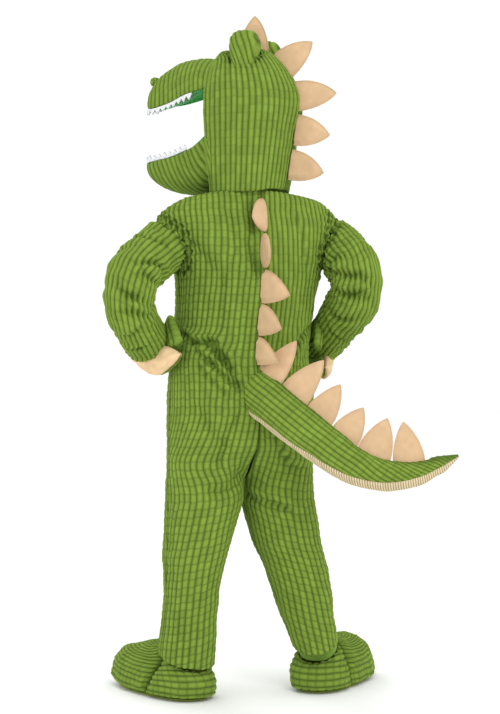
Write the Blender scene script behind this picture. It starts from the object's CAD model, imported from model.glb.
"""The looks of a child's plush alligator costume in its worn, hollow form.

Shapes are worked out in millimetres, with heights above the floor that the wearer stands on.
They become metres in the part's own frame, whose origin is the centre of the neck opening.
The garment faces -Y, the wearer's left is +X and +Z is up.
"""
import math
from functools import partial

import bpy
import numpy as np
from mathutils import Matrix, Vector


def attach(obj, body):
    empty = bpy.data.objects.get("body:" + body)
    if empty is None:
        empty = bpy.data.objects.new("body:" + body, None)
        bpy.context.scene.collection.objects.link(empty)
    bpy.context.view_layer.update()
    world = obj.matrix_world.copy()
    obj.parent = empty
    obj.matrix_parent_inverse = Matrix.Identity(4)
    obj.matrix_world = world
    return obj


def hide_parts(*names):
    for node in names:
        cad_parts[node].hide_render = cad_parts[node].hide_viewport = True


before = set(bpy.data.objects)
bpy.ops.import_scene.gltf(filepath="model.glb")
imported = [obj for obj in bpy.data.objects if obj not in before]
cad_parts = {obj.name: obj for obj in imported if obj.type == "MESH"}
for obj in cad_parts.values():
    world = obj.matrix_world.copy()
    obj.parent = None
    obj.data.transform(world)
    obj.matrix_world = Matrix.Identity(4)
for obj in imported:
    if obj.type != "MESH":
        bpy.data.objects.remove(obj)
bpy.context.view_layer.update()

NECK_HEIGHT = 835.0
SIDES = {"left": 1, "right": -1}

# ---------------------------------------------------------------- sizes, in millimetres

# Most sizes are those of the part's source. The thumbs, the spikes, the teeth, the top of the hood
# and the jaws' ends at the face are shaped here as they look when worn.

BODY_SQUARENESS = 2.3
CROTCH_TOP, CROTCH_BOTTOM = 425, 342
HEM_FRONT_RISE, HEM_RISE_FADE = 46, 130
PLACKET = {"bottom": 440, "top": 790, "half_angle": 9, "thickness": 2.5}
ELBOW_RADIUS, SHOULDER_BEND = 44, 45
MITT_ROUNDING_FROM = 0.8
LOOK_AHEAD = 0.02
UNDERSIDE_FROM = 128
SPIKE_THICKNESS, SPIKE_ROUNDNESS, HOOD_SPIKE_ROUNDNESS = 6.5, 1.7, 2.1
HEAD_CENTRE, HEAD_TURN = (0, -5), 47
FACE_EDGE = 49
HOOD_SQUARENESS, HOOD_AXIS_HEIGHT = 2.3, 985
JAW_SQUARENESS = 2.7
LIP = 7
EYE = {"forward": -9, "side": 45, "height": 1069, "long": 24, "wide": 24, "tall": 29}
EYE_WHITE = {"forward": 11, "side": 40, "height": 1077, "long": 6, "wide": 16, "tall": 16}
EYE_PUPIL = {"forward": 16, "side": 37, "height": 1076, "long": 4, "wide": 7, "tall": 9}
NOSTRIL = {"forward": 163, "side": 24, "height": 1028, "radius": 9}
SHOE_SQUARENESS = 2.4
HEEL_PIECE = 62
TOE_SPRING = {"from": 130, "to": 235, "rise": 11}

BODY_FIELDS = ("height", "x", "y", "half_width", "half_depth", "front_dip")
BODY = [
    (330, 15, 0, 120, 74, 0),
    (400, 18, 3, 123, 90, 0),
    (460, 18, 6, 124, 98, 0),
    (520, 19, 6, 121, 97, 0),
    (560, 20, 4, 115, 93, 0),
    (600, 15, 2, 114, 90, 0),
    (656, 8, 0, 117, 88, 0),
    (700, 4, 0, 123, 87, 0),
    (740, 3, 0, 135, 83, 0),
    (770, 2, 0, 152, 76, 0),
    (788, 1, 0, 160, 67, 0),
    (803, 1, 0, 149, 61, 2),
    (815, 0, 0, 134, 58, 6),
    (827, 0, 0, 112, 57, 12),
    (836, 0, 0, 66, 56, 20),
]
LEG_FIELDS = ("height", "x", "y", "half_width", "half_depth")
LEGS = {
    "left": [
        (53, 102, -27, 46, 48),
        (110, 100, -20, 44, 49),
        (164, 99, -12, 44, 51),
        (207, 97, -7, 48, 55),
        (257, 91, -3, 54, 61),
        (330, 80, 0, 63, 72),
    ],
    "right": [
        (66, -120, -12, 38, 45),
        (96, -112, -10, 41, 47),
        (137, -101, -6, 46, 51),
        (180, -90, -3, 50, 55),
        (227, -75, -1, 53, 59),
        (260, -63, 0, 56, 62),
        (330, -47, 0, 59, 72),
    ],
}
SLEEVE_PATHS = {
    "left": [(103, -5, 764), (148, 9, 746), (258, 118, 671), (174, 3, 579)],
    "right": [(-101, -5, 772), (-145, 16, 752), (-158, 131, 682), (-130, -27, 577)],
}
SLEEVE_FIELDS = ("along", "in_plane", "across")
SLEEVE = [
    (0, 42, 44),
    (0.25, 37, 44),
    (0.45, 37, 43),
    (0.6, 37, 42),
    (0.8, 36, 38),
    (1, 35, 36),
]
MITT_FIELDS = ("along", "x", "y", "height", "half_height", "half_thickness")
MITTS = {
    "left": [
        (0, 173, 3, 577, 33, 30),
        (0.25, 168, 10, 567, 30, 23),
        (0.5, 160, 22, 561, 27, 17),
        (0.75, 151, 44, 564, 19, 14),
        (1, 137, 66, 569, 8, 8),
    ],
    "right": [
        (0, -129, -26, 575, 33, 30),
        (0.25, -127, -18, 562, 30, 23),
        (0.5, -122, -4, 551, 27, 17),
        (0.75, -117, 20, 547, 19, 14),
        (1, -108, 45, 547, 8, 8),
    ],
}
# The thumbs have the fields of the mitts.
THUMBS = {
    "left": [(0, 143, 50, 582, 19, 12), (0.5, 145, 34, 605, 16, 11), (1, 146, 18, 630, 12, 7)],
    "right": [(0, -101, 48, 580, 13, 8), (0.5, -108, 36, 602, 13, 9), (1, -115, 22, 628, 10, 7)],
}
TAIL_FIELDS = ("along", "x", "y", "height", "half_width", "half_height", "roll")
TAIL = [
    (0, 21, 84, 512, 30, 37, 20),
    (0.1, 7, 118, 492, 30, 36, 18),
    (0.22, -16, 148, 466, 30, 35, 14),
    (0.36, -52, 178, 432, 30, 33, 10),
    (0.5, -95, 198, 398, 29, 30, 8),
    (0.65, -145, 208, 379, 26, 26, 6),
    (0.8, -200, 211, 379, 21, 21, 4),
    (0.92, -244, 213, 393, 13, 13, 2),
    (1, -275, 219, 407, 3, 3, 0),
]
# bottom, top, reach, degrees towards the wearer's right, droop, bend of the tip, thickness
SPINE_SPIKES = [
    (766, 822, 44, -46, 6, 3, 14),
    (707, 764, 50, -11, 4, -2, 17),
    (650, 705, 55, 24, 15, 4, 9),
    (598, 649, 53, 20, 15, -3, 9),
    (551, 596, 50, 15, 18, 2, 9),
]
# start and end along the tail, reach, lean back to the root, bend of the tip
TAIL_SPIKES = [
    (0.012, 0.094, 69, 9, 2),
    (0.100, 0.240, 70, -2, -3),
    (0.244, 0.365, 58, 3, 3),
    (0.369, 0.500, 54, 6, -2),
    (0.504, 0.695, 62, -4, 3),
    (0.708, 0.872, 62, -1, -2),
]
TAIL_SPIKES_SUNK = 8
# How far the spike at the tail's root spreads onto the back.
ROOT_SPIKE = {"low": (11, -2, 12), "tip": (-3.5, 0, -5)}
# forward and height of both ends of the base, then of the tip, bend of the tip, how deep it is sunk
HOOD_SPIKES = [
    (18, 1068, -35, 1068, -12, 1129, 3, 5),
    (-44, 1063, -79, 1024, -112, 1080, -3, 4),
    (-84, 1017, -91, 967, -156, 993, 2, 2.5),
    (-89, 962, -82, 911, -142, 926, -4, 1.5),
    (-80, 905, -72, 855, -134, 864, 3, 1.5),
]
HOOD_FIELDS = ("height", "middle", "front", "back", "half_width")
HOOD = [
    (842, -5, 84, -66, 73),
    (885, -5, 90, -74, 80),
    (940, -5, 92, -83, 86),
    (972, -5, 92, -88, 87),
    (1000, -5, 90, -86, 85),
    (1030, -6, 82, -74, 77),
    (1048, -9, 68, -62, 64),
    (1062, -13, 46, -48, 44),
    (1070, -16, 18, -34, 22),
    (1074.4, -15, -12, -18, 0.7),
]
JAW_FIELDS = ("forward", "half_width", "outside", "lip", "inside")
UPPER_JAW = [
    (FACE_EDGE, 74, 1061, 1004, 1046),
    (66, 71, 1063, 1001, 1034),
    (88, 65, 1062, 998, 1016),
    (118, 58, 1058, 988, 997),
    (145, 53, 1046, 982, 989),
    (160, 48, 1031, 981, 987),
    (171, 37, 1016, 984, 989),
    (179, 13, 1002, 991, 994),
]
# Both jaws' outsides start further back, laid over the front of the hood without a step.
JAW_OVERLAP = 34
UPPER_JAW_START = (JAW_OVERLAP, 80.5, 1066.5, 1004, 1046)
LOWER_JAW = [
    (FACE_EDGE, 75, 839, 924, 852),
    (72, 70, 836, 909, 851),
    (98, 62, 836, 901, 851),
    (123, 55, 840, 895, 855),
    (148, 49, 848, 892, 863),
    (166, 42, 859, 890, 873),
    (177, 29, 871, 889, 881),
    (184, 10, 883, 888, 886.5),
]
SHOE_FIELDS = ("ring", "heel_height", "toe_height", "heel", "toe", "half_width")
SHOE = [
    (0, 4.3, 4.3, -3, 232, 51),
    (1, 16, 18, -6, 235, 53),
    (2, 30, 38, -6, 230, 52),
    (3, 41, 60, -2, 205, 49),
    (4, 47, 77, 4, 160, 46),
    (5, 50, 86, 8, 95, 41),
    (6, 53, 90, 13, 64, 35),
]
FEET = {"left": {"heel": (89, 9), "toe_out": 18}, "right": {"heel": (-104, 7), "toe_out": -43}}

# ---------------------------------------------------------------- working out points


def mix(a, b, share):
    return a + (b - a) * share


def bell(value, width, power=2):
    """1 where the value is 0, dying away over the width on both sides."""
    return np.exp(-((value / width) ** power))


def smooth_step(value):
    """0 below 0, 1 above 1 and a soft rise between."""
    share = np.clip(value, 0, 1)
    return share * share * (3 - 2 * share)


def read_table(fields, rows):
    """A function of the first column, smooth through every row."""
    data = np.array(rows, float)
    keys = data[:, 0]
    last = len(keys) - 1
    order = np.arange(last + 1)
    before, after = np.maximum(order - 1, 0), np.minimum(order + 1, last)
    slopes = (data[after] - data[before]) / (keys[after] - keys[before])[:, None]

    def at(key):
        key = np.clip(np.asarray(key, float), keys[0], keys[-1])
        i = np.clip(np.searchsorted(keys, key, side="left") - 1, 0, last - 1)
        span = (keys[i + 1] - keys[i])[..., None]
        t = (key - keys[i])[..., None] / span
        bend_a, bend_b = slopes[i] * span, slopes[i + 1] * span
        rise = data[i + 1] - data[i]
        value = data[i] + t * bend_a + t * t * (3 * rise - 2 * bend_a - bend_b)
        value = value + t * t * t * (bend_a + bend_b - 2 * rise)
        return {name: value[..., c] for c, name in enumerate(fields)}

    return at


def power_of(value, power):
    return np.sign(value) * np.abs(value) ** power


def oval(angle, half_width, half_depth, squareness):
    """Points sideways and backwards on a rounded-square oval: 0 is the back, 180 degrees the front."""
    power = 2 / squareness
    return half_width * power_of(np.sin(angle), power), half_depth * power_of(np.cos(angle), power)


def unit(vectors):
    return vectors / np.maximum(np.linalg.norm(vectors, axis=-1, keepdims=True), 1e-9)


def points(x, y, z):
    return np.stack(np.broadcast_arrays(x, y, z), axis=-1).astype(float)


def noise(place, size, seed=0):
    """Smooth noise from -1 to 1, at a size in millimetres (one number, or one for each axis)."""
    q = place / np.asarray(size, float) + seed * 17.31
    cell = np.floor(q)
    f = q - cell
    f = f * f * (3 - 2 * f)
    cell = cell.astype(np.int64)
    total = 0
    for corner in range(8):
        step = np.array([corner & 1, (corner >> 1) & 1, corner >> 2])
        weight = np.prod(np.where(step == 1, f, 1 - f), axis=-1)
        total = total + weight * (2 * chance(*np.moveaxis(cell + step, -1, 0), seed) - 1)
    return total


def chance(i, j, k=0, seed=0):
    """A fixed number from 0 to 1 for each cell."""
    h = (np.asarray(i, np.int64) * 73856093) ^ (np.asarray(j, np.int64) * 19349663)
    h = (h ^ (np.asarray(k, np.int64) * 83492791) ^ (seed * 2654435761)) & 0xFFFFFFFF
    h = ((h ^ (h >> 15)) * 2246822519) & 0xFFFFFFFF
    h = ((h ^ (h >> 13)) * 3266489917) & 0xFFFFFFFF
    return ((h ^ (h >> 16)) & 0xFFFFFFFF) / 4294967296.0


def lengths(grid, axis):
    """Distance along the surface from the first row (axis 0) or first column (axis 1)."""
    step = np.linalg.norm(np.diff(grid, axis=axis), axis=-1)
    return np.insert(np.cumsum(step, axis=axis), 0, 0, axis=axis)


def read_along(place, keys, values):
    """Reads values, one row for each key, at places between the keys."""
    return np.stack([np.interp(place, keys, column) for column in values.T], -1)


def full_turn(count):
    """Angles all the way round, as one row."""
    return (np.arange(count) / count * 2 * np.pi)[None]


# ---------------------------------------------------------------- meshes

# Fine squares of the outside along each side of one coarse square of the inside.
BLOCK = 4


def make_object(name, vertices, faces_list, attributes):
    """faces_list holds arrays of faces, one array for each number of corners."""
    faces_list = [f for f in faces_list if len(f)]
    used = np.unique(np.concatenate([f.ravel() for f in faces_list]))
    renumber = np.full(len(vertices), -1, np.int64)
    renumber[used] = np.arange(len(used))
    place = vertices[used].copy()
    place[:, 2] -= NECK_HEIGHT
    mesh = bpy.data.meshes.new(name)
    mesh.vertices.add(len(place))
    mesh.vertices.foreach_set("co", (place / 1000).astype(np.float32).ravel())
    corners = np.concatenate([renumber[f].ravel() for f in faces_list])
    sizes = np.concatenate([np.full(len(f), f.shape[1]) for f in faces_list])
    mesh.loops.add(len(corners))
    mesh.loops.foreach_set("vertex_index", corners.astype(np.int32))
    mesh.polygons.add(len(sizes))
    starts = np.concatenate([[0], np.cumsum(sizes)[:-1]])
    mesh.polygons.foreach_set("loop_start", starts.astype(np.int32))
    mesh.polygons.foreach_set("use_smooth", np.ones(len(sizes), bool))
    for key, values in attributes.items():
        layer = mesh.attributes.new(key, "FLOAT", "POINT")
        layer.data.foreach_set("value", np.asarray(values, np.float32).ravel()[used])
    mesh.update(calc_edges=True)
    mesh.validate()
    obj = bpy.data.objects.new(name, mesh)
    bpy.context.scene.collection.objects.link(obj)
    return obj


def wall_faces(rows, columns, wrap, keep, flip):
    """Faces of a closed wall: fine squares outside, coarse ones inside, and its rims."""
    k = BLOCK
    inner_cols = keep.shape[1] if wrap else keep.shape[1] + 1
    first_inner = rows * columns

    def out(i, j):
        return i * columns + j % columns

    def into(a, b):
        return first_inner + a * inner_cols + b % inner_cols

    fine = np.repeat(np.repeat(keep, k, 0), k, 1)
    i, j = np.nonzero(fine)
    quads = [np.stack([out(i, j), out(i, j + 1), out(i + 1, j + 1), out(i + 1, j)], 1)]
    a, b = np.nonzero(keep)
    quads.append(np.stack([into(a, b), into(a + 1, b), into(a + 1, b + 1), into(a, b + 1)], 1))
    padded = np.pad(keep, 1)
    if wrap:
        padded[:, 0], padded[:, -1] = padded[:, -2], padded[:, 1]
    run = np.arange(k + 1)[None]

    def rim(beside, corners):
        a, b = (x[:, None] for x in np.nonzero(keep & ~beside))
        return np.hstack(corners(a, b))

    rims = [
        rim(padded[:-2, 1:-1], lambda a, b: [out(k * a, k * b + k - run), into(a, b), into(a, b + 1)]),
        rim(padded[2:, 1:-1],
            lambda a, b: [out(k * a + k, k * b + run), into(a + 1, b + 1), into(a + 1, b)]),
        rim(padded[1:-1, :-2], lambda a, b: [out(k * a + run, k * b), into(a + 1, b), into(a, b)]),
        rim(padded[1:-1, 2:],
            lambda a, b: [out(k * a + k - run, k * b + k), into(a, b + 1), into(a + 1, b + 1)]),
    ]
    faces = [np.concatenate(quads), np.concatenate(rims)]
    return [f[:, ::-1] for f in faces] if flip else faces


def surface_normals(grid, wrap=False, axis=None):
    """Directions that point away from the axis, or else from each row's middle, and whether the
    grid's own faces have to be turned over to do so."""
    across = np.roll(grid, -1, 1) - np.roll(grid, 1, 1) if wrap else np.gradient(grid, axis=1)
    normal = unit(np.cross(across, np.gradient(grid, axis=0)))
    middle = grid.mean(1, keepdims=True) if axis is None else axis
    flip = bool(np.sum(normal * (grid - middle)) < 0)
    return (-normal if flip else normal), flip


def resample_rows(values, count):
    """The same rows, with points evenly spaced along the surface."""
    share = lengths(values, 1)
    share /= share[:, -1:]
    even = np.linspace(0, 1, count)
    return np.stack([read_along(even, keys, row) for keys, row in zip(share, values)])


# ---------------------------------------------------------------- weaves

CELL = (9.5, 13.0)
GROOVE_POWER, ROW_WIDTH = 0.85, 1.6


def pile_height(rib, row, rows):
    """How far up the pile is, from 0 in a groove to 1 on top of a pillow. The shader does the same."""
    across = np.sin(np.pi * (rib % 1)) ** GROOVE_POWER
    along = np.clip(ROW_WIDTH * np.sin(np.pi * (row % 1)), 0, 1)
    return across * (1 - rows + rows * along)


def waffle(u, v, cell=CELL, depth=2.2, rows=0.5, seed=1, shade=1):
    """Waffle plush: soft pillows between grooves along the ribs (u counts them) and across (v).
    A weave gives the height below the top of the pile, the count of ribs and of rows, how much the
    rows show, the shade and a number a cell."""
    wander = points(u, v, 0)
    rib = (u + 0.6 * noise(wander, (30, 55, 30), seed)) / cell[0]
    shift = 1.3 * (2 * chance(np.floor(rib), seed) - 1)
    row = (v + noise(wander, (42, 30, 30), seed + 1) + shift) / cell[1]
    pick = chance(np.floor(rib), np.floor(row), 3, seed)
    pile = pile_height(rib, row, rows)
    rows = rows + 0 * pile
    return depth * (pile - 1) - 0.55 * pick * pile, rib, row, rows, shade + 0 * pile, pick


def cross_ribs(u, v, pitch=4.3, depth=1.3, seed=5):
    """Fine ribs that run across the piece."""
    rib = (v + 0.8 * noise(points(u, v, 0), (30, 40, 30), seed)) / pitch
    pile = pile_height(rib, 0.5, 0)
    return depth * (pile - 1), rib, 0 * rib, 0 * rib, 1 + 0 * rib, chance(np.floor(rib), seed)


def smooth_cloth(u, v, depth=0.25, size=9.0, seed=9):
    """Fleece or felt, with hardly any relief."""
    bumps = noise(points(u, v, 0), size, seed)
    return plain(depth * (bumps - 1), 0.85 + 0.15 * bumps, 0.5 + 0.5 * bumps)


def plain(height, shade, pick):
    return height, 0.5 + 0 * height, 0 * height, 0 * height, shade + 0 * height, pick + 0 * height


# ---------------------------------------------------------------- pieces of cloth

# How deep, wide and dark the groove at a seam is. Then how much lower and darker the gaps between
# cells are where cloth is pinched, and the dots of a gathered seam.
GROOVE, GROOVE_WIDTH, GROOVE_SHADE = 2.2, 3.2, 0.75
PINCH_DEPTH, PINCH_SHADE, DOT_DEPTH, DOT_SHADE = 2.2, 0.9, 2.6, 0.85
# How far from an edge the cloth starts to roll in, and by what share of its thickness.
ROLL, ROLL_SHARE = 4.0, 0.45
# The inside lies a little deeper than the thickness, and the wall is nowhere thinner than a limit.
EXTRA_DEPTH, THINNEST_WALL = 0.6, 1.0
ATTRIBUTES = ("rib", "row", "rows", "shade", "pick", "pinch")
INSIDE_VALUES = {"rib": 0.5, "shade": 0.6, "pick": 0.5}


def kept_under(within, outer, normal, wrap):
    """Lowers the coarse inside wherever the fine outside comes closer to it than the wall may be."""
    rows, columns = outer.shape[:2]
    closed = np.concatenate([within, within[:, :1]], 1) if wrap else within
    i, j = np.arange(rows), np.arange(columns)
    a, b = np.minimum(i // BLOCK, len(closed) - 2), np.minimum(j // BLOCK, closed.shape[1] - 2)
    down, over = (i / BLOCK - a)[:, None, None], (j / BLOCK - b)[None, :, None]
    a, b = a[:, None], b[None]
    fine = mix(mix(closed[a, b], closed[a, b + 1], over),
               mix(closed[a + 1, b], closed[a + 1, b + 1], over), down)
    lack = np.maximum(0, THINNEST_WALL - np.sum((outer - fine) * normal, -1))
    near = np.pad(lack, BLOCK, mode="edge")
    near = np.lib.stride_tricks.sliding_window_view(near, (2 * BLOCK + 1, 2 * BLOCK + 1))
    near = near[::BLOCK, ::BLOCK].max((2, 3))
    return within - normal[::BLOCK, ::BLOCK] * near[..., None]


def cloth(name, base, weave, u=None, v=None, slot="plush_green", thickness=3.0, wrap=False, axis=None,
          edges=("seam", "seam", "seam", "seam"), keep=None, inside=None, sink=0, pinch=0, dots=0,
          crushed=0):
    """Makes one piece of cloth on a grid of points. The edges are those of the first and last
    column and of the first and last row: a seam, a hem, or none. The weave reads u and v, which
    are millimetres across and along the grid if they aren't given."""
    rows, columns = base.shape[:2]
    k = BLOCK
    coarse = (slice(None, None, k), slice(None, None, k))
    across, along = lengths(base, 1), lengths(base, 0)
    normal, flip = surface_normals(base, wrap, axis)
    height, rib, row, rows_show, shade, pick = weave(across if u is None else u, along if v is None else v)
    pinch = pinch + 0 * height
    height = height - PINCH_DEPTH * pinch * (1 - pile_height(rib, row, rows_show)) - DOT_DEPTH * dots
    shade = shade * (1 - DOT_SHADE * dots) * (1 - crushed)
    drop = np.zeros((rows, columns))
    reaches = (across, across[:, -1:] - across, along, along[-1:] - along)
    for kind, reach in zip(edges, reaches):
        if kind == "seam":
            groove = bell(reach, GROOVE_WIDTH)
            drop += GROOVE * groove
            shade = shade * (1 - GROOVE_SHADE * groove)
        if kind in ("seam", "hem"):
            share = np.clip(1 - reach / ROLL, 0, 1)
            drop += ROLL_SHARE * thickness * (1 - np.sqrt(np.maximum(0, 1 - share * share)))
    drop += sink
    outer = base + normal * (height - drop)[..., None]
    if inside is None:
        inside = kept_under(base[coarse] - normal[coarse] * (thickness + EXTRA_DEPTH), outer, normal, wrap)
    if keep is None:
        keep = np.ones(((rows - 1) // k, columns // k if wrap else (columns - 1) // k), bool)
    faces = wall_faces(rows, columns, wrap, keep, flip)
    vertices = np.concatenate([outer.reshape(-1, 3), inside.reshape(-1, 3)])
    spare = len(vertices) - rows * columns
    attributes = {key: np.concatenate([value.ravel(), np.full(spare, INSIDE_VALUES.get(key, 0))])
                  for key, value in zip(ATTRIBUTES, (rib, row, rows_show, shade, pick, pinch))}
    add_piece(name, slot, vertices, faces, attributes)


def stuffed(name, base, weave, u=None, v=None, slot="plush_green", relief=1):
    """Makes a filled form from rings of points, each a closed loop, with its ends drawn shut.
    The relief is the share of the weave's height that shows at each point."""
    rows, columns = base.shape[:2]
    normal, flip = surface_normals(base, True)
    height, *values = weave(lengths(base, 1) if u is None else u, lengths(base, 0) if v is None else v)
    outer = base + normal * (height * relief)[..., None]
    ends = np.stack([outer[0].mean(0), outer[-1].mean(0)])
    vertices = np.concatenate([outer.reshape(-1, 3), ends])
    i, j = (x.ravel() for x in np.mgrid[0:rows - 1, 0:columns])
    k = (j + 1) % columns
    quads = np.stack([i * columns + j, i * columns + k, (i + 1) * columns + k, (i + 1) * columns + j], 1)
    j = np.arange(columns)
    k = (j + 1) % columns
    first, last = np.full(columns, rows * columns), (rows - 1) * columns
    fans = np.concatenate([np.stack([first, k, j], 1), np.stack([first + 1, last + j, last + k], 1)])
    faces = [f[:, ::-1] if flip else f for f in (quads, fans)]
    values.append(0 * height)
    attributes = {key: np.concatenate([value.ravel(), value[[0, -1], 0]])
                  for key, value in zip(ATTRIBUTES, values)}
    add_piece(name, slot, vertices, faces, attributes)


def add_piece(name, slot, vertices, faces, attributes):
    obj = make_object(name, vertices, faces, attributes)
    obj.data.materials.append(LOOKS[slot])
    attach(obj, "root")
    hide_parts(name)


def blocks(millimetres, step):
    """How many rows or columns cover a length, as whole blocks."""
    return BLOCK * max(1, round(millimetres / (step * BLOCK)))


# ---------------------------------------------------------------- materials

# Places on the colour ramp, and the share of the high colour at each.
RAMP = ((0.08, 0), (0.55, 0.62), (0.92, 1))
# The scales of the cloth's fine fuzz, and of its broad lighter and darker patches.
FUZZ_SCALE, BLOTCH_SCALE = 900, 22


def cloth_material(name, low, high, tint=0.06, fuzz=0.5, roughness=0.95, sheen=0.25,
                   blotch=0.10):
    """Cloth whose colour goes from the depth of its grooves (low) to the top of its pile (high),
    a little different in every cell, with fine fuzz in colour and in relief."""
    material = bpy.data.materials.new(name)
    material.use_nodes = True
    tree = material.node_tree
    nodes, links = tree.nodes, tree.links
    shader = nodes["Principled BSDF"]

    def set_inputs(node, **values):
        for key, value in values.items():
            node.inputs[key.replace("_", " ")].default_value = value

    set_inputs(shader, Roughness=roughness, Sheen_Weight=sheen, Sheen_Roughness=0.6,
               Sheen_Tint=(*high, 1), Specular_IOR_Level=0.15)

    def attribute(key):
        node = nodes.new("ShaderNodeAttribute")
        node.attribute_name = key
        return node.outputs["Fac"]

    def math_node(operation, *values, clamp=False):
        node = nodes.new("ShaderNodeMath")
        node.operation = operation
        node.use_clamp = clamp
        for i, value in enumerate(values):
            if isinstance(value, bpy.types.NodeSocket):
                links.new(value, node.inputs[i])
            else:
                node.inputs[i].default_value = value
        return node.outputs[0]

    def ridge(key):
        turn = math_node("MULTIPLY", math_node("FRACT", attribute(key)), math.pi)
        return math_node("SINE", turn)

    across = math_node("POWER", ridge("rib"), GROOVE_POWER)
    along = math_node("MULTIPLY", ridge("row"), ROW_WIDTH, clamp=True)
    dip = math_node("MULTIPLY", attribute("rows"), math_node("SUBTRACT", along, 1.0))
    woven = math_node("MULTIPLY", across, math_node("ADD", dip, 1.0))
    tight = math_node("MULTIPLY", attribute("pinch"), math_node("SUBTRACT", woven, 1.0))
    tight = math_node("MULTIPLY_ADD", tight, PINCH_SHADE, 1.0, clamp=True)
    pile = math_node("MULTIPLY", math_node("MULTIPLY", woven, tight), attribute("shade"))
    place = nodes.new("ShaderNodeTexCoord")

    def noise_texture(scale, detail):
        node = nodes.new("ShaderNodeTexNoise")
        set_inputs(node, Scale=scale, Detail=detail)
        links.new(place.outputs["Object"], node.inputs["Vector"])
        return node.outputs["Fac"]

    def varied(source, amount):
        return math_node("MULTIPLY_ADD", source, 2 * amount, 1 - amount)

    fine, broad = noise_texture(FUZZ_SCALE, 3), noise_texture(BLOTCH_SCALE, 2)
    ramp = nodes.new("ShaderNodeValToRGB")
    ramp.color_ramp.elements.new(RAMP[1][0])
    for element, (position, share) in zip(ramp.color_ramp.elements, RAMP):
        element.position = position
        element.color = (*[mix(a, b, share) for a, b in zip(low, high)], 1)
    links.new(pile, ramp.inputs["Fac"])

    value = math_node("MULTIPLY", varied(attribute("pick"), tint), varied(fine, fuzz))
    value = math_node("MULTIPLY", value, varied(broad, blotch))
    shade = nodes.new("ShaderNodeHueSaturation")
    links.new(value, shade.inputs["Value"])
    links.new(ramp.outputs["Color"], shade.inputs["Color"])
    links.new(shade.outputs["Color"], shader.inputs["Base Color"])

    bump = nodes.new("ShaderNodeBump")
    set_inputs(bump, Strength=0.8, Distance=0.001)
    links.new(math_node("MULTIPLY_ADD", fine, 0.4, pile), bump.inputs["Height"])
    links.new(bump.outputs["Normal"], shader.inputs["Normal"])
    return material


LOOKS = {
    "plush_green": cloth_material("plush", (0.070, 0.122, 0.016), (0.196, 0.298, 0.041), tint=0.10,
                                  fuzz=0.18),
    "palm_tan": cloth_material("palm_fleece", (0.52, 0.34, 0.18), (0.82, 0.58, 0.34), fuzz=0.05,
                               blotch=0.05),
    "rib_cream": cloth_material("cream_rib", (0.26, 0.19, 0.09), (0.72, 0.60, 0.38), fuzz=0.08),
    "felt_tan": cloth_material("tan_felt", (0.42, 0.26, 0.13), (0.65, 0.44, 0.26), fuzz=0.06,
                               blotch=0.05),
    "lining_green": cloth_material("green_lining", (0.03, 0.17, 0.04), (0.07, 0.44, 0.10), fuzz=0.05,
                                   roughness=0.55, sheen=0.1),
    "felt_white": cloth_material("white_felt", (0.66, 0.67, 0.69), (0.80, 0.81, 0.83), fuzz=0.01,
                                 blotch=0.01, tint=0.01),
    "pupil_black": cloth_material("black_felt", (0.010, 0.010, 0.010), (0.025, 0.025, 0.025), fuzz=0.1),
    "band_green": cloth_material("green_knit", (0.09, 0.17, 0.02), (0.20, 0.34, 0.055), fuzz=0.10),
    "sole_green": cloth_material("sole_cloth", (0.10, 0.15, 0.02), (0.22, 0.29, 0.05), fuzz=0.10,
                                 roughness=0.8),
}

# ---------------------------------------------------------------- camera, light and floor

# The camera stands level with its target, in the direction the photo was taken from. In metres.
LENS, SENSOR = 85.06, 36
TARGET, CAMERA_DISTANCE, CAMERA_DIRECTION = Vector((0, 0, -0.271)), 2.8, Vector((0.3256, 0.9455, 0))
FAR_CLIP = 50
# name, place, diameter in metres and power in watts
LIGHTS = [
    ("key", (-0.2, 2.9, 1.7), 1.1, 26),
    ("fill", (2.6, 1.6, 0.6), 1.6, 5),
    ("front", (0.5, -3.0, 1.4), 1.8, 20),
]
LIT_POINT = (0, 0, -0.3)
FLOOR_REACH, FLOOR_GREY, WORLD_STRENGTH = 14, 0.99, 1.04


def add_aimed(name, data, place, target):
    """Adds a camera or a light at a place, turned to a target."""
    obj = bpy.data.objects.new(name, data)
    obj.location = place
    obj.rotation_mode = "QUATERNION"
    obj.rotation_quaternion = (Vector(target) - Vector(place)).to_track_quat("-Z", "Y")
    bpy.context.scene.collection.objects.link(obj)
    return obj


def add_camera():
    data = bpy.data.cameras.new("camera")
    data.sensor_width = SENSOR
    data.lens = LENS
    data.clip_end = FAR_CLIP
    place = TARGET + CAMERA_DISTANCE * CAMERA_DIRECTION
    bpy.context.scene.camera = add_aimed("camera", data, place, TARGET)


def add_floor():
    mesh = bpy.data.meshes.new("floor")
    corners = [(x * FLOOR_REACH, y * FLOOR_REACH, -NECK_HEIGHT / 1000)
               for x, y in ((-1, -1), (1, -1), (1, 1), (-1, 1))]
    mesh.from_pydata(corners, [], [(0, 1, 2, 3)])
    floor = bpy.data.objects.new("floor", mesh)
    bpy.context.scene.collection.objects.link(floor)
    material = bpy.data.materials.new("floor")
    material.use_nodes = True
    shader = material.node_tree.nodes["Principled BSDF"]
    shader.inputs["Base Color"].default_value = (FLOOR_GREY, FLOOR_GREY, FLOOR_GREY, 1)
    shader.inputs["Roughness"].default_value = 0.9
    mesh.materials.append(material)


def add_lights():
    world = bpy.data.worlds.new("studio")
    world.use_nodes = True
    background = world.node_tree.nodes["Background"]
    background.inputs["Color"].default_value = (1, 1, 1, 1)
    background.inputs["Strength"].default_value = WORLD_STRENGTH
    bpy.context.scene.world = world
    bpy.context.scene.view_settings.view_transform = "Standard"
    for name, place, size, power in LIGHTS:
        data = bpy.data.lights.new(name, "AREA")
        data.shape = "DISK"
        data.size = size
        data.energy = power
        add_aimed(name, data, place, LIT_POINT)


add_camera()
add_floor()
add_lights()

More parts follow.
